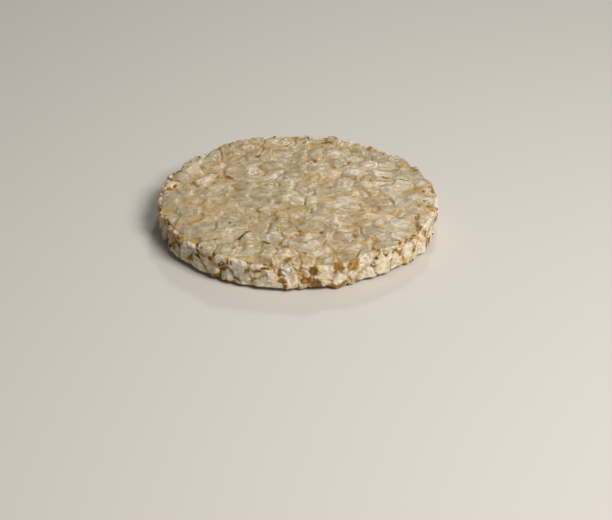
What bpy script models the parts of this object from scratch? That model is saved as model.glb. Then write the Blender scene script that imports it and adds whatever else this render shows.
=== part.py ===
"""A puffed rice cake: one round, flat cake of popped grains pressed together in a mould.

The cake is one solid. Its two faces are mosaics of grains pressed flat by the mould's plates, and its wall is
a band of puffed lobes pressed against the mould's ring. Creases run between all of them.
Units are metres, +Z is up, and the origin is the middle of the underside.
"""
import math
import random

import bmesh
import bpy
from mathutils import Matrix, Vector, noise

# Driving dimensions
DIAMETER = 0.095
THICKNESS = 0.011

# Grains in the two faces
FACE_GRAIN_SPACING = 0.0054
FACE_PAD_SCALE = 0.80
FACE_CREASE_DEPTH = 0.00055
FACE_CREASE_VARIATION = 0.00030
FACE_PAD_SINK = 0.00022
FACE_MARGIN = 0.0008

# Lobes in the wall
WALL_LOBE_SPACING = 0.0039
WALL_PAD_SCALE = 0.66
WALL_CREASE_DEPTH = 0.0011
WALL_CREASE_VARIATION = 0.0004
WALL_LOBE_SWELL = 0.0005

# Rim and outline
RIM_DROP = 0.0015
OUTLINE_SIDES = 72
OUTLINE_WAVES = ((2, 0.00035, 0.6), (3, 0.00030, 2.1), (5, 0.00022, 4.0), (9, 0.00016, 1.3))

# Making
SEED = 7
DARTS = 9000
NEIGHBOUR_REACH = 3.4
NOISE_PITCH = 0.004
CUT_DISTANCE = 0.00000001
MERGE_DISTANCE = 0.00002

RADIUS = DIAMETER / 2
FACE_RADIUS = RADIUS - FACE_MARGIN
WALL_LENGTH = 2 * math.pi * RADIUS
WALL_BOTTOM = RIM_DROP
WALL_TOP = THICKNESS - RIM_DROP


def clear_scene():
    """Remove whatever the open file holds."""
    for old in list(bpy.data.objects):
        bpy.data.objects.remove(old, do_unlink=True)


def scatter(start, draw, distance, spacing):
    """Throw darts and keep those that land no closer than spacing to one another."""
    kept = list(start)
    for _ in range(DARTS):
        dart = draw()
        if all(distance(dart, other) >= spacing for other in kept):
            kept.append(dart)
    return kept


def cut_cell(outline, seed, rivals):
    """Cut an outline down to the points that lie nearer to the seed than to any rival."""
    cell = bmesh.new()
    cell.faces.new([cell.verts.new(point) for point in outline])
    for rival in rivals:
        bmesh.ops.bisect_plane(
            cell,
            geom=cell.verts[:] + cell.edges[:] + cell.faces[:],
            dist=CUT_DISTANCE,
            plane_co=(seed + rival) / 2,
            plane_no=(rival - seed).normalized(),
            clear_outer=True,
        )
    return cell


def add_cell(mosaic, cell):
    """Copy one cell into the mosaic, and free it."""
    carrier = bpy.data.meshes.new("cell")
    cell.to_mesh(carrier)
    cell.free()
    mosaic.from_mesh(carrier)
    bpy.data.meshes.remove(carrier)


def raise_pads(mosaic, scale, pad_height, crease_height):
    """Turn each cell into a pad that stands between creases."""
    creases = list(mosaic.verts)
    for face in list(mosaic.faces):
        height = pad_height(face.calc_center_median())
        pad = bmesh.ops.extrude_discrete_faces(mosaic, faces=[face])["faces"][0]
        centre = pad.calc_center_median()
        bmesh.ops.scale(mosaic, vec=(scale, scale, 1), space=Matrix.Translation(-centre), verts=pad.verts)
        bmesh.ops.translate(mosaic, vec=(0, 0, height), verts=pad.verts)
    for vert in creases:
        vert.co.z += crease_height(vert.co)


def relief(point, offset):
    """Smooth noise between -1 and 1 that changes over a few millimetres."""
    return noise.noise((point + offset) / NOISE_PITCH)


def make_face(rng, upper):
    """One face of the cake: a disc of flat grains, facing up or down."""
    def draw():
        angle = rng.uniform(0, 2 * math.pi)
        reach = FACE_RADIUS * math.sqrt(rng.random())
        return Vector((reach * math.cos(angle), reach * math.sin(angle), 0))

    def distance(one, other):
        return (one - other).length

    outline = []
    for step in range(OUTLINE_SIDES):
        angle = 2 * math.pi * step / OUTLINE_SIDES
        outline.append(Vector((FACE_RADIUS * math.cos(angle), FACE_RADIUS * math.sin(angle), 0)))
    seeds = scatter([Vector((0, 0, 0))], draw, distance, FACE_GRAIN_SPACING)
    mosaic = bmesh.new()
    for seed in seeds:
        rivals = [other for other in seeds if 0 < distance(seed, other) < NEIGHBOUR_REACH * FACE_GRAIN_SPACING]
        add_cell(mosaic, cut_cell(outline, seed, rivals))
    bmesh.ops.remove_doubles(mosaic, verts=mosaic.verts, dist=MERGE_DISTANCE)

    offset = Vector((0, 0, THICKNESS if upper else 0))
    sink = FACE_PAD_SINK if upper else 0
    raise_pads(
        mosaic,
        FACE_PAD_SCALE,
        lambda centre: -sink * rng.random(),
        lambda point: -FACE_CREASE_DEPTH - FACE_CREASE_VARIATION * relief(point, offset),
    )
    if upper:
        bmesh.ops.translate(mosaic, vec=offset, verts=mosaic.verts)
    else:
        bmesh.ops.scale(mosaic, vec=(1, 1, -1), verts=mosaic.verts)
    return mosaic


def make_wall(rng):
    """The wall: a strip of lobes laid out flat, with Z as their height, then wrapped round the cake."""
    def draw():
        return Vector((rng.uniform(0, WALL_LENGTH), rng.uniform(WALL_BOTTOM, WALL_TOP), 0))

    def distance(one, other):
        along = abs(one.x - other.x)
        return math.hypot(min(along, WALL_LENGTH - along), one.y - other.y)

    seeds = scatter([], draw, distance, WALL_LOBE_SPACING)
    laps = [Vector((WALL_LENGTH * lap, 0, 0)) for lap in (-1, 0, 1)]
    reach = NEIGHBOUR_REACH * WALL_LOBE_SPACING
    strip = bmesh.new()
    for seed in seeds:
        rivals = [other + lap for other in seeds for lap in laps if 0 < (other + lap - seed).length < reach]
        outline = [
            Vector((seed.x - reach, WALL_BOTTOM, 0)),
            Vector((seed.x + reach, WALL_BOTTOM, 0)),
            Vector((seed.x + reach, WALL_TOP, 0)),
            Vector((seed.x - reach, WALL_TOP, 0)),
        ]
        add_cell(strip, cut_cell(outline, seed, rivals))
    bmesh.ops.remove_doubles(strip, verts=strip.verts, dist=MERGE_DISTANCE)

    def crease_height(point):
        turn = point.x / RADIUS
        place = Vector((RADIUS * math.cos(turn), RADIUS * math.sin(turn), point.y))
        return -WALL_CREASE_DEPTH - WALL_CREASE_VARIATION * relief(place, Vector())

    raise_pads(strip, WALL_PAD_SCALE, lambda centre: WALL_LOBE_SWELL * rng.uniform(-1, 1), crease_height)
    for vert in strip.verts:
        turn = vert.co.x / RADIUS
        reach = RADIUS + vert.co.z
        vert.co = Vector((reach * math.cos(turn), reach * math.sin(turn), vert.co.y))
    bmesh.ops.remove_doubles(strip, verts=strip.verts, dist=MERGE_DISTANCE)
    return strip


def open_edges(body, low, high):
    """The open edges of the body that lie between two heights."""
    return [edge for edge in body.edges if edge.is_boundary and low <= edge.verts[0].co.z <= high]


def bend_outline(body):
    """Push the round outline in and out, most at the rim and not at all in the middle."""
    for vert in body.verts:
        angle = math.atan2(vert.co.y, vert.co.x)
        share = (math.hypot(vert.co.x, vert.co.y) / RADIUS) ** 2
        push = sum(size * math.sin(waves * angle + phase) for waves, size, phase in OUTLINE_WAVES)
        vert.co.x += share * push * math.cos(angle)
        vert.co.y += share * push * math.sin(angle)


def centre_on_base(body):
    """Put the middle of the body's plan over the origin."""
    middle = Vector((0, 0, 0))
    for axis in (0, 1):
        places = [vert.co[axis] for vert in body.verts]
        middle[axis] = (min(places) + max(places)) / 2
    bmesh.ops.translate(body, vec=-middle, verts=body.verts)


def starch_material():
    """Puffed rice starch: pale cream and nearly matt."""
    material = bpy.data.materials.new("puffed_starch")
    material.use_nodes = True
    shader = material.node_tree.nodes["Principled BSDF"]
    shader.inputs["Base Color"].default_value = (0.62, 0.53, 0.37, 1)
    shader.inputs["Roughness"].default_value = 0.55
    shader.inputs["Metallic"].default_value = 0
    return material


def make_cake(rng):
    """Join the two faces and the wall into one closed body."""
    body = bmesh.new()
    for patch in (make_face(rng, True), make_face(rng, False), make_wall(rng)):
        add_cell(body, patch)
    middle = THICKNESS / 2
    bmesh.ops.bridge_loops(body, edges=open_edges(body, middle, THICKNESS))
    bmesh.ops.bridge_loops(body, edges=open_edges(body, 0, middle))
    bend_outline(body)
    centre_on_base(body)
    bmesh.ops.triangulate(body, faces=body.faces)
    bmesh.ops.recalc_face_normals(body, faces=body.faces)
    mesh = bpy.data.meshes.new("rice_cake")
    body.to_mesh(mesh)
    body.free()
    mesh.materials.append(starch_material())
    return bpy.data.objects.new("rice_cake", mesh)


def main():
    clear_scene()
    collection = bpy.data.collections.new("puffed_rice_cake")
    bpy.context.scene.collection.children.link(collection)
    collection.objects.link(make_cake(random.Random(SEED)))


main()
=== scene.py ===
import itertools
import math

import bmesh
import bpy
import numpy as np
from mathutils import Matrix, Vector


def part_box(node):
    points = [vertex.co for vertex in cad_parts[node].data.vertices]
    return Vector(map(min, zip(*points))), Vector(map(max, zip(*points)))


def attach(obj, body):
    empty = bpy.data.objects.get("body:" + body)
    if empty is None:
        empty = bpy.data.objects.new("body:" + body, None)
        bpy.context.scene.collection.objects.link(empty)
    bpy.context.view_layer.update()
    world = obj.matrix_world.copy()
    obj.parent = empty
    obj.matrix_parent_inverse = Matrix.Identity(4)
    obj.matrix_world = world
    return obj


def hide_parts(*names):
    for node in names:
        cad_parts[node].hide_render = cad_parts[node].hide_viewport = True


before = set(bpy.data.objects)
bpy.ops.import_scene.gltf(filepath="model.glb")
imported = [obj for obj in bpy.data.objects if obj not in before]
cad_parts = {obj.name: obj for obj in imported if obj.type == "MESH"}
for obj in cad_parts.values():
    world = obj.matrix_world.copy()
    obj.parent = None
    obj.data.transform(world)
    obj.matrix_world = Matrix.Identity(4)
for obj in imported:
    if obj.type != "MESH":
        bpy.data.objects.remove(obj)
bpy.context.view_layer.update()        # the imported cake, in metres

mm = 0.001
low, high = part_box("rice_cake")
puck = {
    "radius": (high[0] - low[0] + high[1] - low[1]) / 4 / mm - 0.35,  # mm, where the mould's ring stood
    "height": (high[2] - low[2]) / mm,                                # mm, between the two hot plates
    "corner": 1.5,                                                    # mm, rounding where plate and ring meet
    "waves": ((2, 0.22, 0.6), (3, 0.20, 2.1), (5, 0.16, 4.0), (9, 0.14, 1.3), (14, 0.10, 0.4)),
    "nibble": 0.75,                                                   # mm, uneven outline at the rim
}


# small tools: they work on many points at once, in millimetres
def smoothStep(start, end, value):
    share = np.clip((value - start) / (end - start), 0, 1)
    return share * share * (3 - 2 * share)


def length(vectors):
    return np.sqrt((vectors * vectors).sum(axis=-1))


def softNoise(places, pitch, key):
    # smooth lattice noise from -1 to 1; a pitch of three numbers stretches it, and the key picks its pattern
    table = np.random.default_rng(key).uniform(-1, 1, (41, 37, 43))
    scaled = places / np.asarray(pitch) + 100
    cell = np.floor(scaled).astype(int)
    part = scaled - cell
    part = part * part * (3 - 2 * part)
    total = np.zeros(len(places))
    for corner in itertools.product((0, 1), repeat=3):
        weight = np.where(corner, part, 1 - part).prod(axis=1)
        spot = (cell + corner) % table.shape
        total += weight * table[spot[:, 0], spot[:, 1], spot[:, 2]]
    return total


def bubbleCells(places, pitch, key):
    # a foam: how far the nearest wall between two bubbles is, and a random number for each bubble
    table = np.random.default_rng(key).uniform(0, 1, (31, 29, 37, 4))
    scaled = places / np.asarray(pitch) + 100
    cell = np.floor(scaled).astype(int)
    near = np.full(len(places), 9.0)
    second = np.full(len(places), 9.0)
    name = np.zeros(len(places))
    for step in itertools.product((-1, 0, 1), repeat=3):
        spot = (cell + step) % table.shape[:3]
        made = table[spot[:, 0], spot[:, 1], spot[:, 2]]
        away = length(cell + step + made[:, :3] - scaled)
        closer = away < near
        second = np.where(closer, near, np.minimum(second, away))
        name = np.where(closer, made[:, 3], name)
        near = np.where(closer, away, near)
    return (second - near) * np.mean(pitch) / 2, name


def ripple(places, sizes, key):
    pitch, height = sizes
    return height * softNoise(places, pitch, key)


def groove(off, width):
    # 1 in the middle of a groove, and nothing a few widths off
    return np.exp(-(off / width) ** 2)


def flatten(height, level, softness):
    # press what stands over the level back to it, softly
    return level - softness * np.logaddexp(0, (level - height) / softness)


def onRough(sizes, rough):
    # a size on smooth stretches of the wall, and what the rough ones add to it
    return sizes[0] + sizes[1] * rough


def ontoPuck(places):
    # the nearest place on the plain rounded puck, and the way out of it there
    half = puck["height"] / 2
    inner = puck["radius"] - puck["corner"]
    reach = np.maximum(np.hypot(places[:, 0], places[:, 1]), 1e-9)
    rise = places[:, 2] - half
    coreReach = np.minimum(reach, inner)
    coreRise = np.clip(rise, puck["corner"] - half, half - puck["corner"])
    out = reach - coreReach
    up = rise - coreRise
    size = np.maximum(np.hypot(out, up), 1e-9)
    across = places[:, :2] / reach[:, None]
    normal = np.column_stack([across * (out / size)[:, None], up / size])
    foot = np.column_stack([across * coreReach[:, None], coreRise + half]) + normal * puck["corner"]
    return foot, normal


# the popped grains, all sizes in mm
grain = {
    "spacing": 5.1,              # least distance between two middles
    "layerDepth": 2.7,           # from a face to the middles of its grains
    "depthSpread": 0.5,
    "rimGap": 1.0,
    "halfLength": (4.4, 6.2),
    "halfBreadth": (2.5, 3.1),
    "halfDepth": 3.0,
    "waver": ((3.4, 0.55), (1.3, 0.22)),   # pitch and size of the wander in their outlines
    "outer": (0.82, 0.92),       # shares of the radius between which grains stop lying flat
    "outerDepth": (-0.6, 2.4),   # how much deeper the outer ones lie
    "lean": (0.18, 0.9),         # of the inner grains, in radians, and how much more of the outer ones
    "darts": 6000,
    "block": 8.0,                # side of the blocks that the search for near grains works in
}


def scatterGrains(luck):
    centres = []
    for layer in (0, 1):
        spots = np.empty((0, 2))
        for dart in range(grain["darts"]):
            reach = (puck["radius"] - grain["rimGap"]) * math.sqrt(luck.random())
            angle = luck.uniform(0, 2 * math.pi)
            spot = np.array([[reach * math.cos(angle), reach * math.sin(angle)]])
            if len(spots) == 0 or length(spots - spot).min() > grain["spacing"]:
                spots = np.vstack([spots, spot])
        outer = smoothStep(*grain["outer"], length(spots) / puck["radius"])
        depth = grain["layerDepth"] + luck.uniform(-1, 1, len(spots)) * grain["depthSpread"]
        depth += outer * luck.uniform(*grain["outerDepth"], len(spots))
        centres.append(np.column_stack([spots, depth if layer == 0 else puck["height"] - depth]))
    centres = np.vstack(centres)
    # grains lie flat in the faces and anyhow at the wall
    inner, more = grain["lean"]
    lean = inner + more * smoothStep(*grain["outer"], length(centres[:, :2]) / puck["radius"])
    turns = np.empty((len(centres), 3, 3))
    for index in range(len(centres)):
        lie = Matrix.Rotation(luck.uniform(0, math.pi), 3, "Z")
        lie = lie @ Matrix.Rotation(luck.normal(0, lean[index]), 3, "Y")
        sizes = (luck.uniform(*grain["halfLength"]), luck.uniform(*grain["halfBreadth"]), grain["halfDepth"])
        turns[index] = np.diag(1 / np.array(sizes)) @ np.array(lie.transposed())
    return centres, turns


def nearGrains(places):
    # the three nearest grains to each place, each grain measuring along its own axes
    names = np.empty((len(places), 3), int)
    sizes = np.empty((len(places), 3))
    block = np.floor(places[:, :2] / grain["block"]).astype(int) @ (1, 1000)
    order = np.argsort(block, kind="stable")
    for part in np.split(order, np.flatnonzero(np.diff(block[order])) + 1):
        middle = places[part, :2].mean(axis=0)
        close = np.flatnonzero(length(grainCentres[:, :2] - middle) < 2.2 * grain["block"])
        local = np.einsum("gij,pgj->pgi", grainTurns[close], places[part, None] - grainCentres[close])
        size = length(local) - grainPush[close]
        nearest = np.argpartition(size, (0, 1, 2), axis=1)[:, :3]
        names[part] = close[nearest]
        sizes[part] = np.take_along_axis(size, nearest, axis=1)
    return names, sizes


def grainSlope(places, names):
    # the way in which the distance to a named grain grows
    local = np.einsum("pij,pj->pi", grainTurns[names], places - grainCentres[names])
    return np.einsum("pji,pj->pi", grainTurns[names], local) / length(local)[:, None]


def waver(places):
    moved = places.copy()
    for key, (pitch, size) in enumerate(grain["waver"]):
        for axis in range(3):
            moved[:, axis] += size * softNoise(places, pitch, 50 + 3 * key + axis)
    return moved


def findSeams(foot, normal):
    # the grains at each place, how far off the nearest seam is along the surface, and the way to it
    moved = waver(foot)
    names, sizes = nearGrains(moved)
    slope = grainSlope(moved, names[:, 1]) - grainSlope(moved, names[:, 0])
    slope -= normal * (slope * normal).sum(axis=1)[:, None]
    steep = np.maximum(length(slope), 0.15)
    edge = (sizes[:, 1] - sizes[:, 0]) / steep
    return moved, names, sizes, edge, slope / steep[:, None]


# the two faces that the hot plates pressed, in mm
pressedFace = {
    "top": (0.15, 0.45),            # height of the highest grain, and how far under it the lowest lies
    "tilt": 0.045,                  # mm for each mm
    "plump": 0.25,                  # share of the grains that are swollen in the middle, and not sunk
    "swollen": 0.08,
    "sunk": (-0.32, 0.0),
    "roundEdge": (0.5, 0.10),       # how far a grain falls off at its end and towards its edge
    "seamBlend": 0.75,              # how far off the seam two grains merge
    "seamDepth": (0.01, 0.36),      # of a tight seam, and how much more where it gapes
    "seamWidth": 0.38,
    "foldOff": 0.7,                 # a fold of film runs this far beside the seam
    "foldWidth": 0.45,
    "foldHeight": 0.14,
    "ripple": (1.6, 0.06),          # pitch and height
    "ridge": (3.6, 0.11),
    "grainWrinkle": (1.0, 0.08),
    "swell": (15.0, 0.14),
    "pit": (0.8, 0.4),              # depth and width of a hole where three grains meet
    "rimDrop": (0.4, 0.5),          # least drop at the rim, and how much more on some stretches
    "plate": (0.15, 0.08),          # where the plate stood, and how softly it flattened the grains
}

# the puffed wall that swelled against the mould's ring, in mm
puffedWall = {
    "stand": 0.42,
    "spread": 0.38,                 # between the grains
    "bubblePitch": (2.5, 2.5, 4.0),
    "bubbleSpread": (0.25, 0.35),   # between the bubbles on smooth stretches, and more on rough ones
    "seamDepth": (0.06, 0.42),      # of the tightest seam, and how much more of the deepest
    "seamWidth": 0.40,
    "valley": (0.38, 1.0),          # depth and width of the wide fall towards a seam
    "crease": (0.10, 0.14),         # between two bubbles: depth on smooth stretches, and more on rough ones
    "creaseWidth": 0.30,
    "bubbleRound": (0.22, 0.30),    # smooth, and more on rough
    "bubbleRoundWidth": 0.6,
    "lump": (1.4, 0.13),            # pitch and height
    "crumb": (0.05, 0.10),          # smooth, and more on rough
    "crumbPitch": (0.8, 0.8, 1.3),
    "hollow": (0.3, 0.45),          # smooth, and more on rough
    "hollowPitch": (2.4, 2.4, 2.0),
    "hole": (1.25, 0.4),            # pitch and depth
    "rimDrop": (0.2, 0.5),          # least drop at the rim, and how much more on some stretches
    "ring": (0.12, 0.25),           # where the mould's ring stood: smooth, and more on rough
    "ringWaver": ((0.9, 0.9, 5.0), 0.08),    # pitch and height
    "ringDents": ((3.2, 3.2, 8.0), 0.10),
    "softness": 0.07,
    "rimRough": 0.9,                # lumps where face and wall meet
}


def padHeight(moved, names, sizes):
    # the upper side of one grain: tilted, sunk or swollen in the middle, and round at the edge
    pad = grainTop[names] + (grainTilt[names] * (moved - grainCentres[names])[:, :2]).sum(axis=1)
    flat = np.sqrt(np.maximum(sizes ** 2 - (grain["layerDepth"] / grain["halfDepth"]) ** 2, 0))
    pad += grainSink[names] * (1 - smoothStep(0.1, 0.75, flat))
    end, side = pressedFace["roundEdge"]
    return pad - end * smoothStep(0.45, 1.1, sizes) - side * smoothStep(0.7, 1.1, flat)


def reliefAt(foot, normal):
    # height of the real surface over the plain puck, in mm, and how each place looks
    moved, names, sizes, edge, _ = findSeams(foot, normal)
    first = names[:, 0]
    wall = 1 - smoothStep(0.35, 0.95, np.abs(normal[:, 2]))
    joint = (sizes[:, 2] - sizes[:, 0]) * np.mean(grain["halfBreadth"]) / 2
    pair = np.modf((grainLuck[first] + grainLuck[names[:, 1]]) * 17.3)[0]    # one random number for each seam
    local = np.einsum("pij,pj->pi", grainTurns[first], moved - grainCentres[first])
    reach = np.hypot(foot[:, 0], foot[:, 1]) / puck["radius"]
    rise = np.abs(foot[:, 2] / puck["height"] * 2 - 1)
    roll = smoothStep(-0.5, 0.5, softNoise(foot * (1, 1, 0.6), 19.0, 12) + 0.3 * softNoise(foot, 7.0, 13))

    # the two pressed faces: grains overlap like worn pebbles, and few of the seams gape
    form = pressedFace
    share = 0.5 - 0.5 * smoothStep(0, form["seamBlend"], edge)
    ownPad = padHeight(moved, first, sizes[:, 0])
    nextPad = padHeight(moved, names[:, 1], sizes[:, 1])
    face = ownPad * (1 - share) + nextPad * share
    gape = smoothStep(0.62, 1.05, pair + 0.5 * softNoise(foot, 5.0, 11))
    tight, gaping = form["seamDepth"]
    face -= (tight + gaping * gape) * groove(edge, form["seamWidth"])
    broken = 0.6 + 0.9 * softNoise(foot, 3.1, 25)
    fold = broken * groove(edge - form["foldOff"], form["foldWidth"])
    face += form["foldHeight"] * grainRidge[first] * fold
    pitch, tall = form["ridge"]
    wrinkle = ripple(foot, form["ripple"], 22) + tall * (1 - 2 * np.abs(softNoise(foot, pitch, 23)))
    wrinkle += ripple(local * (0.9, 2.4, 1.5) + first[:, None], form["grainWrinkle"], 21)
    face += wrinkle * smoothStep(0.0, 0.6, edge)
    face += ripple(foot, form["swell"], 24)
    pitted = smoothStep(0.25, 0.5, softNoise(foot, 6.5, 31))
    face -= form["pit"][0] * pitted * groove(joint, form["pit"][1])
    top = grainTop[first] * (1 - share) + grainTop[names[:, 1]] * share
    level = face - 0.85 * top + 0.2 * smoothStep(0.8, 1.0, reach)
    least, more = form["rimDrop"]
    face -= (least + more * roll) * grainRim[first] * smoothStep(0.87, 1.0, reach) ** 2
    face = flatten(face, *form["plate"])

    # the wall: swollen lobes and their bubbles, pressed back to the mould's ring
    form = puffedWall
    bubble, bubbleLuck = bubbleCells(waver(foot * 1.3), form["bubblePitch"], 41)
    rough = smoothStep(-0.3, 0.4, softNoise(foot, 17.0, 47))
    lobe = form["stand"] + form["spread"] * grainSwell[first]
    lobe = lobe + onRough(form["bubbleSpread"], rough) * (bubbleLuck - 0.5)
    tight, deep = form["seamDepth"]
    depth, width = form["valley"]
    lobe -= (tight + deep * pair ** 2) * groove(edge, form["seamWidth"]) + depth * np.exp(-edge / width)
    crease = onRough(form["crease"], rough) * groove(bubble, form["creaseWidth"])
    lobe -= crease + onRough(form["bubbleRound"], rough) * np.exp(-bubble / form["bubbleRoundWidth"])
    crumbs = onRough(form["crumb"], rough) * softNoise(foot, form["crumbPitch"], 43)
    lobe += ripple(foot, form["lump"], 42) + crumbs
    hollow = smoothStep(0.48, 0.68, softNoise(foot, form["hollowPitch"], 44))
    lobe -= onRough(form["hollow"], rough) * hollow
    pitch, depth = form["hole"]
    lobe -= depth * smoothStep(0.52, 0.72, softNoise(foot, pitch, 49))
    proud = lobe
    least, more = form["rimDrop"]
    lobe = lobe - (least + more * roll) * grainRim[first] * smoothStep(0.45, 1.0, rise) ** 2
    ring = onRough(form["ring"], rough) + ripple(foot, form["ringWaver"], 45)
    ring += ripple(foot, form["ringDents"], 46)
    pressed = smoothStep(-0.15, 0.1, proud - ring)
    lobe = flatten(lobe, ring, form["softness"])

    height = face * (1 - wall) + lobe * wall
    height += form["rimRough"] * wall * (1 - wall) * softNoise(foot, 2.1, 48)
    # a grain that ends short of the plate draws its part of the wall down with it
    short = top * smoothStep(0.2, 0.95, rise) * wall
    squeeze = short * np.sign(foot[:, 2] - puck["height"] / 2)

    # how each place looks, most of it from 0 to 1
    husk, huskTone = findHusk(moved)
    outer = smoothStep(0.5, 0.95, reach) + wall
    # the film that the plates leave reaches over the rim in tongues
    foam = 1 - smoothStep(0.1, 0.75, np.abs(normal[:, 2]) + 0.45 * softNoise(foot, 3.4, 64))
    film = (1 - foam) * (0.85 + 0.3 * softNoise(foot, 2.7, 63))
    plump = grainSwell[first] * (1 - share) + grainSwell[names[:, 1]] * share
    # paler film where it stands high, on plump grains and along the folds; the fold part is also a painted
    # highlight, white glints painted along the folds
    paleFilmAndGlint = np.clip(0.6 * smoothStep(-0.42, 0.15, level) + 0.5 * fold + 0.36 * plump - 0.03, 0, 1)
    luckTone = grainLuck[first] * (1 - share) + grainLuck[names[:, 1]] * share
    mottled = 0.5 + 0.5 * softNoise(foot, 2.2, 61)
    looks = {
        "film": film + foam * 0.35 * smoothStep(0.55, 0.9, bubbleLuck),
        # raised: the real paler high film and folds, plus a painted highlight along the folds
        "raised": paleFilmAndGlint * (1 - wall) + pressed * wall,
        "tone": (luckTone * (1 - wall) + bubbleLuck * wall) * 0.65 + 0.35 * mottled,
        "toast": smoothStep(0.22 - 0.4 * outer, 0.6, softNoise(foot, 3.2, 62)) * np.exp(-edge / 0.6),
        # depth: painted shade, darker and yellower where the surface lies low in seams, pits and between the
        # wall's lobes
        "depth": np.clip(-level * (1 - wall) - proud * wall - 0.2, 0, 1),
        "inner": smoothStep(0.25, 0.9, edge),
        "husk": husk,
        "huskTone": huskTone,
        "fibre": local * (1.3, 3.2, 3.0) + grainLuck[first][:, None] * 60,
    }
    return height, squeeze, looks


def raisePlaces(foot, normal, height, squeeze):
    # places on the real surface; the outline wanders in and out a little, most at the rim
    angle = np.arctan2(foot[:, 1], foot[:, 0])
    share = (np.hypot(foot[:, 0], foot[:, 1]) / puck["radius"]) ** 6
    push = sum(size * np.sin(count * angle + phase) for count, size, phase in puck["waves"])
    push = push + puck["nibble"] * softNoise(foot * (1, 1, 0.4), 3.2, 71)
    places = foot + normal * height[:, None]
    places[:, 0] += share * push * np.cos(angle)
    places[:, 1] += share * push * np.sin(angle)
    places[:, 2] = np.maximum(places[:, 2] + squeeze, 0)
    return places


luck = np.random.default_rng(20)
grainCentres, grainTurns = scatterGrains(luck)
grainCount = len(grainCentres)
grainLuck = luck.uniform(0, 1, grainCount)
grainPush = luck.normal(0, 0.06, grainCount)
highest, spread = pressedFace["top"]
grainTop = highest - spread * luck.random(grainCount) ** 2
nearRim = smoothStep(0.80, 0.92, length(grainCentres[:, :2]) / puck["radius"])
grainTop -= 0.9 * luck.random(grainCount) ** 2 * nearRim
grainRidge = luck.uniform(0.0, 1.6, grainCount)      # how strong the fold round each grain is
swollen = luck.random(grainCount) < pressedFace["plump"]
grainSink = np.where(swollen, pressedFace["swollen"], luck.uniform(*pressedFace["sunk"], grainCount))
grainRim = 2.5 * luck.random(grainCount) ** 1.6      # how far each grain rolls over the rim
grainTilt = luck.normal(0, pressedFace["tilt"], (grainCount, 2))
grainSwell = luck.uniform(-1, 1, grainCount)
print("grains placed:", grainCount)

# patches of bran that stay stuck to the grains, sizes in mm
huskPatch = {
    "zones": {"wall": 150, "rim": 150, "top": 130, "underside": 130},
    "crowding": 0.36,            # under 0.5 gathers them towards the rim
    "halfLength": (0.8, 3.0),
    "slimness": (0.35, 0.85),
    "depth": 1.2,                # how far each one reaches into the cake
    "toSeam": 1.5,               # each one moves this far at most towards the nearest seam
}


def pickSpots(luck, spec):
    # middles on the wall, at the rim and on the two faces
    radius = puck["radius"]
    height = puck["height"]
    spots = []
    for zone, count in spec["zones"].items():
        for index in range(count):
            angle = luck.uniform(0, 2 * math.pi)
            if zone == "wall":
                reach = radius
                rise = luck.uniform(0.6, height - 0.6)
            elif zone == "rim":
                reach = radius - luck.uniform(0, 1.6)
                rise = height * (luck.random() < 0.6)
            else:
                reach = radius * luck.random() ** spec["crowding"]
                rise = height * (zone == "top")
            spots.append((reach * math.cos(angle), reach * math.sin(angle), rise))
    return np.array(spots)


def toSeams(spots, normals, most):
    # move places towards their nearest seam by at most this much
    _, _, _, edge, toSeam = findSeams(spots, normals)
    spots, normals = ontoPuck(spots - toSeam * np.minimum(edge, most)[:, None])
    return spots, normals, toSeam


def scatterHusk(luck):
    # in the faces they are slim and follow the seams, and on the wall they are broad
    spots, normals, across = toSeams(*ontoPuck(pickSpots(luck, huskPatch)), huskPatch["toSeam"])
    turns = np.empty((len(spots), 3, 3))
    for index, normal in enumerate(normals):
        flatness = abs(normal[2])
        long = luck.uniform(*huskPatch["halfLength"]) * luck.uniform(0.4, 1.0) * (1 - 0.15 * flatness)
        slim = luck.uniform(*huskPatch["slimness"]) * (1 - 0.35 * flatness)
        out = Vector(normal)
        side = Vector(across[index]).cross(out).normalized()
        lie = Matrix.Rotation(luck.normal(0, 0.4 + 0.6 * (1 - flatness)), 3, out)
        axes = np.array([lie @ side, lie @ out.cross(side), out])
        turns[index] = np.diag((1 / long, 1 / long / slim, 1 / huskPatch["depth"])) @ axes
    return spots, turns, luck.random(len(spots))


huskSpots, huskTurns, huskLuck = scatterHusk(luck)


def findHusk(places):
    # how far inside a patch each place lies, in mm, and that patch's own tone
    best = np.full(len(places), -1.0)
    tone = np.zeros(len(places))
    for spot, turn, own in zip(huskSpots, huskTurns, huskLuck):
        near = np.flatnonzero(length(places - spot) < 5)    # none is longer than that
        inside = (1 - length((places[near] - spot) @ turn.T)) / np.abs(turn).max(axis=1).mean()
        better = inside > best[near]
        best[near[better]] = inside[better]
        tone[near[better]] = own
    return best, tone


# finishes
def tint(code):
    # an sRGB hex colour as linear RGBA
    parts = [int(code[place:place + 2], 16) / 255 for place in (1, 3, 5)]
    return [part / 12.92 if part <= 0.04045 else ((part + 0.055) / 1.055) ** 2.4 for part in parts] + [1]


def addNode(tree, kind, values=None, links=None, ramp=None, **settings):
    node = tree.nodes.new(kind)
    for name, value in settings.items():
        setattr(node, name, value)
    for socket, value in (values or {}).items():
        node.inputs[socket].default_value = value
    for socket, source in (links or {}).items():
        tree.links.new(source, node.inputs[socket])
    for index, (spot, code) in enumerate(ramp or ()):
        stops = node.color_ramp.elements
        stop = stops[index] if index < 2 else stops.new(spot)
        stop.position = spot
        stop.color = tint(code)
    return node


def newFinish(name, roughness):
    finish = bpy.data.materials.new(name)
    finish.use_nodes = True
    shader = finish.node_tree.nodes["Principled BSDF"]
    shader.inputs["Roughness"].default_value = roughness
    shader.inputs["IOR"].default_value = 1.5
    return finish, finish.node_tree, shader


def letLightIn(shader, weight, spread, depth):
    # light goes this many mm into the piece, red the furthest
    shader.inputs["Subsurface Weight"].default_value = weight
    shader.inputs["Subsurface Radius"].default_value = spread
    shader.inputs["Subsurface Scale"].default_value = depth * mm


def perMetre(size):
    # texture scale for a pattern of this many mm
    return 1 / (size * mm)
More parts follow.
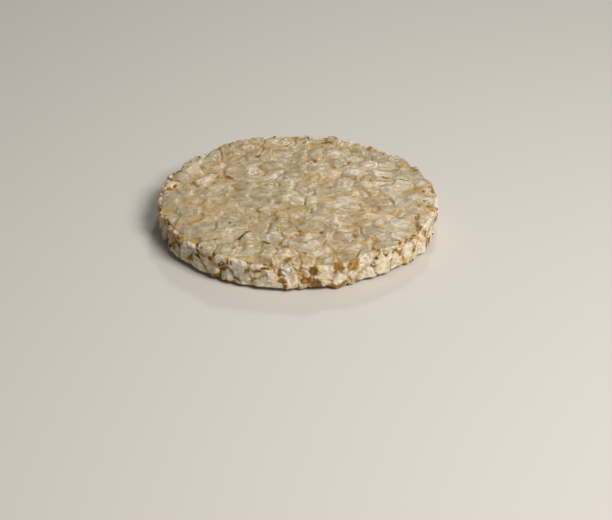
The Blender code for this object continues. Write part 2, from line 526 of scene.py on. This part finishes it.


# colours of the cake's surface, with painted shade for its crevices and a painted highlight on its folds, and
# its patterns' sizes in mm
starch = {
    "film": ((0.15, "#A69D82"), (0.85, "#BDA26C"), (0.4, "#B0A280"), (0.65, "#BCAC8D")),
    # the paler colour of the folds: partly real paler film, partly a painted highlight along them
    "foldsAndGlints": ((0.15, "#DFD9CA"), (0.85, "#E2D1A8"), (0.4, "#E1D6C1"), (0.65, "#E9E0D0")),
    "foam": ((0.15, "#E8E2D6"), (0.9, "#DEC792"), (0.4, "#E9E1D0"), (0.7, "#E6D9BC")),
    "clouds": ((0.32, "#CFC8BA"), (0.62, "#FFFFFF")),
    "cloudSize": 1.1,
    "toast": ("#A2761F", 0.7),       # scorched seams: colour and strength
    "depth": ("#94742C", 0.75),      # painted shade in the crevices: colour and strength
    "bran": ((0.0, "#74500A"), (1.0, "#E2BC60"), (0.35, "#926810"), (0.65, "#B08324"), (0.85, "#CC9F42")),
    "branStreaks": ((0.30, "#B09456"), (0.62, "#FFFFFF")),
    "branEdge": "#D4AC58",           # the bran thins to a golden skin at its edges
    "frayPitch": 1.5,
    "fray": 1.7,                     # how far a patch's outline wanders
    "branHeight": 0.12,
    "wrinkleHeight": 0.24,
    "bubblePitch": 0.5,
    "bubbleHeight": 0.28,
    "coat": 0.28,                    # gloss of the film
    "lightDepth": 1.3,
}


def pressedStarch():
    # Puffed rice starch. The hot plates pressed its faces to a beige, half clear film with a low gloss, paler
    # on the folds, where it is partly a painted highlight, while the wall stays white matt foam. Painted
    # shade darkens the crevices. Brown bran sticks to it in patches.
    finish, tree, shader = newFinish("pressedStarch", 0.5)
    place = addNode(tree, "ShaderNodeTexCoord").outputs["Object"]
    looks = {name: addNode(tree, "ShaderNodeAttribute", attribute_name=name).outputs["Fac"] for name in
             ("film", "raised", "tone", "toast", "depth", "inner", "husk", "huskTone")}
    along = addNode(tree, "ShaderNodeAttribute", attribute_name="fibre").outputs["Vector"]
    film = looks["film"]
    sunkTone = addNode(tree, "ShaderNodeValToRGB", links={"Fac": looks["tone"]}, ramp=starch["film"])
    # the folds' paler tone is partly a painted highlight
    paleFoldAndGlintTone = addNode(tree, "ShaderNodeValToRGB", links={"Fac": looks["tone"]}, ramp=starch["foldsAndGlints"])
    foamTone = addNode(tree, "ShaderNodeValToRGB", links={"Fac": looks["tone"]}, ramp=starch["foam"])
    filmTone = addNode(tree, "ShaderNodeMix", links={
        0: looks["raised"], 6: sunkTone.outputs["Color"], 7: paleFoldAndGlintTone.outputs["Color"]}, data_type="RGBA")
    base = addNode(tree, "ShaderNodeMix", links={
        0: film, 6: foamTone.outputs["Color"], 7: filmTone.outputs[2]}, data_type="RGBA")
    cloud = addNode(tree, "ShaderNodeTexNoise", {
        "Scale": perMetre(starch["cloudSize"]), "Detail": 4, "Roughness": 0.65}, {"Vector": place})
    cloudTone = addNode(tree, "ShaderNodeValToRGB", links={
        "Fac": cloud.outputs["Fac"]}, ramp=starch["clouds"])
    clouded = addNode(tree, "ShaderNodeMix", {0: 1.0}, {
        6: base.outputs[2], 7: cloudTone.outputs["Color"]}, data_type="RGBA", blend_type="MULTIPLY")
    colour = clouded
    # toast is the real scorch at the seams; depth paints shade into the crevices
    for look in ("toast", "depth"):
        code, strength = starch[look]
        share = addNode(tree, "ShaderNodeMath", {1: strength}, {0: looks[look]}, operation="MULTIPLY")
        colour = addNode(tree, "ShaderNodeMix", {7: tint(code)}, {
            0: share.outputs[0], 6: colour.outputs[2]}, data_type="RGBA")
    # bran patches with ragged outlines: dark brown to ochre, streaked
    fray = addNode(tree, "ShaderNodeTexNoise", {
        "Scale": perMetre(starch["frayPitch"]), "Detail": 6, "Roughness": 0.8}, {"Vector": place})
    frayed = addNode(tree, "ShaderNodeMapRange", {
        "To Min": -starch["fray"], "To Max": starch["fray"]}, {"Value": fray.outputs["Fac"]})
    husk = addNode(tree, "ShaderNodeMath", links={0: looks["husk"], 1: frayed.outputs[0]}, operation="ADD")
    inHusk = addNode(tree, "ShaderNodeMapRange", {
        "From Min": -0.04, "From Max": 0.26, "To Max": 0.95}, {"Value": husk.outputs[0]})
    huskTone = addNode(tree, "ShaderNodeValToRGB", links={"Fac": looks["huskTone"]}, ramp=starch["bran"])
    core = addNode(tree, "ShaderNodeMapRange", {"From Min": 0.0, "From Max": 0.5}, {"Value": husk.outputs[0]})
    thinned = addNode(tree, "ShaderNodeMix", {6: tint(starch["branEdge"])}, {
        0: core.outputs[0], 7: huskTone.outputs["Color"]}, data_type="RGBA")
    streak = addNode(tree, "ShaderNodeTexNoise", {
        "Scale": 3.5, "Detail": 4, "Roughness": 0.65}, {"Vector": along})
    streakTone = addNode(tree, "ShaderNodeValToRGB", links={
        "Fac": streak.outputs["Fac"]}, ramp=starch["branStreaks"])
    streaked = addNode(tree, "ShaderNodeMix", {0: 1.0}, {
        6: thinned.outputs[2], 7: streakTone.outputs["Color"]}, data_type="RGBA", blend_type="MULTIPLY")
    patched = addNode(tree, "ShaderNodeMix", links={
        0: inHusk.outputs[0], 6: colour.outputs[2], 7: streaked.outputs[2]}, data_type="RGBA")
    tree.links.new(patched.outputs[2], shader.inputs["Base Color"])
    # the film shines a little, and the foam and the bran don't
    gloss = addNode(tree, "ShaderNodeMapRange", {"To Min": 0.75, "To Max": 0.5}, {"Value": film})
    tree.links.new(gloss.outputs[0], shader.inputs["Roughness"])
    shader.inputs["Specular IOR Level"].default_value = 0.3
    bare = addNode(tree, "ShaderNodeMapRange", {
        "To Min": starch["coat"], "To Max": 0.0}, {"Value": inHusk.outputs[0]})
    coat = addNode(tree, "ShaderNodeMath", links={0: film, 1: bare.outputs[0]}, operation="MULTIPLY")
    tree.links.new(coat.outputs[0], shader.inputs["Coat Weight"])
    shader.inputs["Coat Roughness"].default_value = 0.27
    letLightIn(shader, 0.5, (1.0, 0.8, 0.55), starch["lightDepth"])
    # wrinkles along each grain, bubbles in the foam, and bran a little proud of the rest
    fibre = addNode(tree, "ShaderNodeTexNoise", {
        "Scale": 1.6, "Detail": 4, "Roughness": 0.6}, {"Vector": along})
    grit = addNode(tree, "ShaderNodeTexNoise", {
        "Scale": perMetre(starch["bubblePitch"]), "Detail": 4, "Roughness": 0.65}, {"Vector": place})
    gritShare = addNode(tree, "ShaderNodeMapRange", {"To Min": 1.0, "To Max": 0.35}, {"Value": film})
    wrinkled = addNode(tree, "ShaderNodeBump", {"Distance": starch["wrinkleHeight"] * mm}, {
        "Strength": looks["inner"], "Height": fibre.outputs["Fac"]})
    gritty = addNode(tree, "ShaderNodeBump", {"Distance": starch["bubbleHeight"] * mm}, {
        "Strength": gritShare.outputs[0], "Height": grit.outputs["Fac"], "Normal": wrinkled.outputs[0]})
    proud = addNode(tree, "ShaderNodeBump", {"Strength": 0.8, "Distance": starch["branHeight"] * mm}, {
        "Height": inHusk.outputs[0], "Normal": gritty.outputs[0]})
    tree.links.new(proud.outputs[0], shader.inputs["Normal"])
    return finish


def flakeFinish(name, colours, roughness):
    # a flake's own tone, with fine streaks and ribs along it
    finish, tree, shader = newFinish(name, roughness)
    tone = addNode(tree, "ShaderNodeAttribute", attribute_name="tone").outputs["Fac"]
    along = addNode(tree, "ShaderNodeAttribute", attribute_name="fibre").outputs["Vector"]
    colour = addNode(tree, "ShaderNodeValToRGB", links={"Fac": tone}, ramp=colours)
    streak = addNode(tree, "ShaderNodeTexNoise", {
        "Scale": 1.0, "Detail": 4, "Roughness": 0.65}, {"Vector": along})
    streakTone = addNode(tree, "ShaderNodeValToRGB", links={"Fac": streak.outputs["Fac"]}, ramp=(
        (0.32, "#B9AFA0"), (0.68, "#FFFFFF")))
    streaked = addNode(tree, "ShaderNodeMix", {0: 1.0}, {
        6: colour.outputs["Color"], 7: streakTone.outputs["Color"]}, data_type="RGBA", blend_type="MULTIPLY")
    tree.links.new(streaked.outputs[2], shader.inputs["Base Color"])
    ribbed = addNode(tree, "ShaderNodeBump", {"Strength": 0.7, "Distance": 0.06 * mm}, {
        "Height": streak.outputs["Fac"]})
    tree.links.new(ribbed.outputs[0], shader.inputs["Normal"])
    return finish, shader


def toastedBran():
    # Rice bran toasted by the hot mould: brown flakes with fine ribs along them and a slight oily gloss
    ramp = ((0.0, "#6B4E0A"), (1.0, "#C39B3E"), (0.35, "#846211"), (0.75, "#A17A22"))
    finish, shader = flakeFinish("toastedBran", ramp, 0.55)
    shader.inputs["Specular IOR Level"].default_value = 0.18
    return finish


def goldenSkin():
    # The grain's outer skin, loosened by the steam: thin, straw coloured and half clear
    finish, shader = flakeFinish("goldenSkin", ((0.0, "#C49A52"), (1.0, "#E2CC9C"), (0.5, "#D3B273")), 0.4)
    letLightIn(shader, 0.3, (1.0, 0.7, 0.4), 0.8)
    return finish


def whiteFoam():
    # Torn puffed starch: white, matt and full of tiny bubbles
    finish, tree, shader = newFinish("whiteFoam", 0.75)
    place = addNode(tree, "ShaderNodeTexCoord").outputs["Object"]
    tone = addNode(tree, "ShaderNodeAttribute", attribute_name="tone").outputs["Fac"]
    colour = addNode(tree, "ShaderNodeValToRGB", links={"Fac": tone}, ramp=(
        (0.0, "#D8D0BE"), (1.0, "#CDB27C"), (0.7, "#D6C8AA")))
    tree.links.new(colour.outputs["Color"], shader.inputs["Base Color"])
    grit = addNode(tree, "ShaderNodeTexNoise", {"Scale": perMetre(0.35), "Detail": 3}, {"Vector": place})
    gritty = addNode(tree, "ShaderNodeBump", {"Strength": 0.9, "Distance": 0.1 * mm}, {
        "Height": grit.outputs["Fac"]})
    tree.links.new(gritty.outputs[0], shader.inputs["Normal"])
    letLightIn(shader, 0.3, (1.0, 0.8, 0.6), 1.0)
    return finish


def storeLooks(mesh, looks):
    for name, values in looks.items():
        kind = "FLOAT" if values.ndim == 1 else "FLOAT_VECTOR"
        layer = mesh.attributes.new(name, kind, "POINT")
        layer.data.foreach_set("value" if kind == "FLOAT" else "vector", values.astype(np.float32).ravel())


def finishPiece(name, shape, finish, looks):
    # a bmesh becomes a piece that rides on the cake's one body
    mesh = bpy.data.meshes.new(name)
    shape.to_mesh(mesh)
    shape.free()
    storeLooks(mesh, looks)
    mesh.shade_smooth()
    mesh.materials.append(finish)
    piece = bpy.data.objects.new(name, mesh)
    bpy.context.scene.collection.objects.link(piece)
    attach(piece, "root")
    print(name, len(mesh.polygons), "faces")
    return piece


def readPlaces(shape):
    return np.array([vert.co for vert in shape.verts])


def movePlaces(shape, places):
    for vert, place in zip(shape.verts, places):
        vert.co = place


# the cake's own surface
skin = {
    "acrossCuts": 184,           # faces across the cake
    "wallCuts": 37,              # and up its wall
    "snap": 0.26,                # mm, points this near to a seam move onto it
}


def layRoundPuck(cube):
    # the cube's top and bottom become the faces, and its sides the rim and wall
    u, v, w = cube.T
    reach = np.maximum(np.abs(u), np.abs(v))
    safe = np.maximum(reach, 1e-9)
    wide = np.abs(u) >= np.abs(v)
    angle = np.where(wide, math.pi / 4 * v / np.where(wide, u, 1) + np.where(u < 0, math.pi, 0),
                     math.pi / 2 - math.pi / 4 * u / np.where(wide, 1, v) + np.where(v < 0, math.pi, 0))
    corner = puck["corner"]
    straight = puck["height"] - 2 * corner
    along = (1 - w) / 2 * (straight + math.pi * corner)
    quarter = math.pi / 2
    bend = np.clip(along / corner, 0, quarter) + np.clip((along - straight) / corner - quarter, 0, quarter)
    drop = np.clip(along - quarter * corner, 0, straight)
    radius = safe * (puck["radius"] - corner) + corner * np.sin(bend)
    rise = puck["height"] - corner + corner * np.cos(bend) - drop
    return np.column_stack([radius * np.cos(angle), radius * np.sin(angle), rise])


def makeCrust():
    shape = bmesh.new()
    bmesh.ops.create_cube(shape, size=2)
    level = [edge for edge in shape.edges if abs(edge.verts[0].co.z - edge.verts[1].co.z) < 1]
    bmesh.ops.subdivide_edges(shape, edges=level, cuts=skin["acrossCuts"] - 1, use_grid_fill=True)
    upright = [edge for edge in shape.edges if abs(edge.verts[0].co.z - edge.verts[1].co.z) > 1]
    bmesh.ops.subdivide_edges(shape, edges=upright, cuts=skin["wallCuts"] - 1, use_grid_fill=True)
    foot, normal = ontoPuck(layRoundPuck(readPlaces(shape)))
    for turn in (0, 1):
        # so that each seam is a clean groove
        _, _, _, edge, toSeam = findSeams(foot, normal)
        slide = np.where(edge < skin["snap"], edge, 0)
        foot, normal = ontoPuck(foot - toSeam * slide[:, None])
    height, squeeze, looks = reliefAt(foot, normal)
    movePlaces(shape, raisePlaces(foot, normal, height, squeeze) * mm)
    bmesh.ops.recalc_face_normals(shape, faces=shape.faces)
    return finishPiece("crust", shape, pressedStarch(), looks)


crust = makeCrust()
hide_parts("rice_cake")


# bran flakes, grain skins and foam scraps that lie on the surface
def flakePattern(sides):
    # a flat closed disc of radius 1, its lower sheet at 0 and its upper one at 1
    shape = bmesh.new()
    bmesh.ops.create_circle(shape, cap_ends=True, segments=sides, radius=1)
    cap = shape.faces[:]
    for ring in (0.34, 0.33):
        bmesh.ops.inset_individual(shape, faces=cap, thickness=ring)
    bmesh.ops.poke(shape, faces=cap)
    made = bmesh.ops.extrude_face_region(shape, geom=shape.faces[:], use_keep_orig=True)["geom"]
    upper = [part for part in made if isinstance(part, bmesh.types.BMVert)]
    bmesh.ops.translate(shape, vec=(0, 0, 1), verts=upper)
    # extruding leaves its faces in another order each time, so they are put in the order of their points
    shape.verts.index_update()
    shape.faces.sort(key=lambda face: sum(
        1000 ** place * name for place, name in enumerate(sorted(vert.index for vert in face.verts)[-3:])))
    carrier = bpy.data.meshes.new("pattern")
    shape.to_mesh(carrier)
    shape.free()
    return carrier


def makeFlakes(name, spec, finish, key):
    luck = np.random.default_rng(key)
    pattern = flakePattern(spec["sides"])
    unit = np.array([vert.co for vert in pattern.vertices])
    ring = np.hypot(unit[:, 0], unit[:, 1])
    angle = np.arctan2(unit[:, 1], unit[:, 0])
    # each flake lies along the nearest seam
    middles, normals, across = toSeams(*ontoPuck(pickSpots(luck, spec)), spec["toSeam"])
    shape = bmesh.new()
    flat = []
    tones = []
    fibres = []
    lifts = []
    for middle, normal, way in zip(middles, normals, across):
        shape.from_mesh(pattern)
        halfLength = luck.uniform(*spec["halfLength"]) * luck.uniform(0.55, 1.0)
        halfBreadth = halfLength * luck.uniform(*spec["slimness"])
        waves = [size * np.sin(count * angle + luck.uniform(0, 6.3)) for count, size in spec["ragged"]]
        ragged = 1 + sum(waves)
        side = way - normal * (way * normal).sum()
        side /= max(length(side), 1e-6)
        turn = math.pi / 2 + luck.normal(0, 0.3)
        one = side * math.cos(turn) + np.cross(normal, side) * math.sin(turn)
        two = np.cross(normal, one)
        bow = luck.normal(0, spec["bow"]) * halfLength
        u = unit[:, 0] * ragged * halfLength
        v = unit[:, 1] * ragged * halfBreadth + bow * (unit[:, 0] ** 2 - 0.3)
        flat.append(middle + u[:, None] * one + v[:, None] * two)
        tones.append(luck.random() + 0.25 * (ring - 0.5) * luck.uniform(-1, 1))
        fibres.append(np.column_stack([u * 0.7, v * 5.5, ring * 0]) + luck.uniform(0, 90, 3))
        curl = ring ** 2 * luck.normal(0, spec["curl"])
        lifts.append(luck.uniform(*spec["lift"]) + curl + unit[:, 2] * spec["thickness"])
    foot, normal = ontoPuck(np.vstack(flat))
    height, squeeze, _ = reliefAt(foot, normal)
    each = height.reshape(len(middles), -1)
    level = np.repeat(np.percentile(each, 65, axis=1), each.shape[1])
    height = spec["follow"] * height + (1 - spec["follow"]) * level + np.concatenate(lifts)
    movePlaces(shape, raisePlaces(foot, normal, height, squeeze) * mm)
    bmesh.ops.recalc_face_normals(shape, faces=shape.faces)
    looks = {"tone": np.concatenate(tones), "fibre": np.vstack(fibres)}
    return finishPiece(name, shape, finish, looks)


bran = {
    "sides": 12,
    "toSeam": 2.0,
    "zones": {"wall": 60, "rim": 36, "top": 16, "underside": 16},
    "crowding": 0.36,
    "halfLength": (0.6, 2.2),
    "slimness": (0.25, 0.6),
    "bow": 0.05,                 # bend in its own plane, and curl up at its ends
    "curl": 0.05,
    "lift": (0.0, 0.10),
    "follow": 0.85,              # share of the ground's relief that it follows
    "thickness": 0.08,
    "ragged": ((2, 0.30), (3, 0.24), (5, 0.15), (7, 0.10)),    # waves in its outline
}
goldSkin = {
    "sides": 12,
    "toSeam": 2.0,
    "zones": {"wall": 34, "rim": 14, "top": 24, "underside": 20},
    "crowding": 0.5,
    "halfLength": (1.4, 3.6),
    "slimness": (0.16, 0.30),
    "bow": 0.12,
    "curl": 0.04,
    "lift": (-0.03, 0.04),
    "follow": 0.85,
    "thickness": 0.06,
    "ragged": ((2, 0.10), (3, 0.08), (5, 0.06)),
}


makeFlakes("branFlakes", bran, toastedBran(), 31)
makeFlakes("grainSkins", goldSkin, goldenSkin(), 32)


# scraps of torn foam along the wall and rim
scrap = {
    "count": 150,
    "size": (0.25, 0.65),
    "sink": 0.45,                # share of its size that is under the surface
    "places": (0.72, 0.18, 0.10),   # shares on the wall, at the upper rim and at the lower rim
    "stretch": ((0.8, 1.5), (0.6, 1.0), (0.4, 0.8)),
}


def makeScraps():
    luck = np.random.default_rng(41)
    shape = bmesh.new()
    middles = []
    for index in range(scrap["count"]):
        angle = luck.uniform(0, 2 * math.pi)
        rises = (luck.uniform(0.3, puck["height"] - 0.3), puck["height"], 0.3)
        rise = luck.choice(rises, p=scrap["places"])
        reach = puck["radius"] - (luck.uniform(0, 1) if rise in (0.3, puck["height"]) else 0)
        middles.append((reach * math.cos(angle), reach * math.sin(angle), rise))
    foot, normal = ontoPuck(np.array(middles))
    height, squeeze, _ = reliefAt(foot, normal)
    spots = raisePlaces(foot, normal, height, squeeze)
    tones = []
    for spot, way in zip(spots, normal):
        size = luck.uniform(*scrap["size"])
        made = bmesh.ops.create_icosphere(shape, subdivisions=2, radius=1)["verts"]
        turn = Matrix.Rotation(luck.uniform(0, 6.3), 3, "Z") @ Matrix.Rotation(luck.uniform(0, 6.3), 3, "X")
        stretch = Vector([luck.uniform(*sides) for sides in scrap["stretch"]]) * size
        unit = np.array([vert.co for vert in made])
        swell = 1 + 0.35 * softNoise(unit + luck.uniform(0, 99, 3), 0.7, 91)
        for vert, grow in zip(made, swell):
            local = turn @ Vector(part * side for part, side in zip(vert.co * grow, stretch))
            vert.co = (Vector(spot) - Vector(way) * scrap["sink"] * size + local) * mm
            vert.co.z = max(vert.co.z, 0)
        tones += [luck.random()] * len(made)
    bmesh.ops.recalc_face_normals(shape, faces=shape.faces)
    return finishPiece("foamScraps", shape, whiteFoam(), {"tone": np.array(tones)})


makeScraps()


# floor, camera and light
studio = {
    "floorSize": 3.0,
    "distance": 0.6,         # m, from the camera to the middle of the upper face
    "elevation": 28.2,       # degrees, over that face
    "lens": 103.1,           # mm
    "aimRight": 0.32,        # degrees, so that the cake stands left of the middle and above it
    "aimDown": 2.17,
    "floor": "#CAC7C2",
    "world": ("#ECE8E1", 0.17),
    "spread": 130,           # degrees that each lamp shines over
    # turn and height in degrees, distance and size in m, power in W, colour
    "lights": {
        "key": (-44, 45, 0.8, 0.36, 3.8, "#FFFAF2"),
        "back": (80, 36, 1.0, 0.13, 0.95, "#FFFFFF"),
        "overhead": (20, 80, 1.2, 0.9, 0.1, "#FFFFFF"),
    },
}


def makeStudio():
    shape = bmesh.new()
    bmesh.ops.create_grid(shape, x_segments=1, y_segments=1, size=studio["floorSize"] / 2)
    mesh = bpy.data.meshes.new("floor")
    shape.to_mesh(mesh)
    shape.free()
    finish, _, shader = newFinish("paleFloor", 0.8)
    shader.inputs["Base Color"].default_value = tint(studio["floor"])
    mesh.materials.append(finish)
    floor = bpy.data.objects.new("floor", mesh)
    bpy.context.scene.collection.objects.link(floor)

    lens = bpy.data.cameras.new("camera")
    lens.lens = studio["lens"]
    lens.clip_start = 0.01
    camera = bpy.data.objects.new("camera", lens)
    bpy.context.scene.collection.objects.link(camera)
    bpy.context.scene.camera = camera
    raised = math.radians(studio["elevation"])
    target = Vector((0, 0, puck["height"] * mm))
    camera.location = target + studio["distance"] * Vector((0, -math.cos(raised), math.sin(raised)))
    camera.rotation_euler = (
        math.pi / 2 - raised - math.radians(studio["aimDown"]), 0, -math.radians(studio["aimRight"]))

    for name, (turn, rise, far, size, power, colour) in studio["lights"].items():
        lamp = bpy.data.lights.new(name, "AREA")
        lamp.energy = power
        lamp.size = size
        lamp.spread = math.radians(studio["spread"])
        lamp.color = tint(colour)[:3]
        light = bpy.data.objects.new(name, lamp)
        bpy.context.scene.collection.objects.link(light)
        turn = math.radians(turn)
        rise = math.radians(rise)
        way = Vector((math.cos(rise) * math.cos(turn), math.cos(rise) * math.sin(turn), math.sin(rise)))
        light.location = target + far * way
        light.rotation_euler = way.to_track_quat("Z", "Y").to_euler()
    colour, strength = studio["world"]
    world = bpy.data.worlds.new("studio")
    world.use_nodes = True
    sky = world.node_tree.nodes["Background"]
    sky.inputs["Color"].default_value = tint(colour)
    sky.inputs["Strength"].default_value = strength
    bpy.context.scene.world = world
    bpy.context.scene.view_settings.view_transform = "Standard"


makeStudio()
print("studio set")
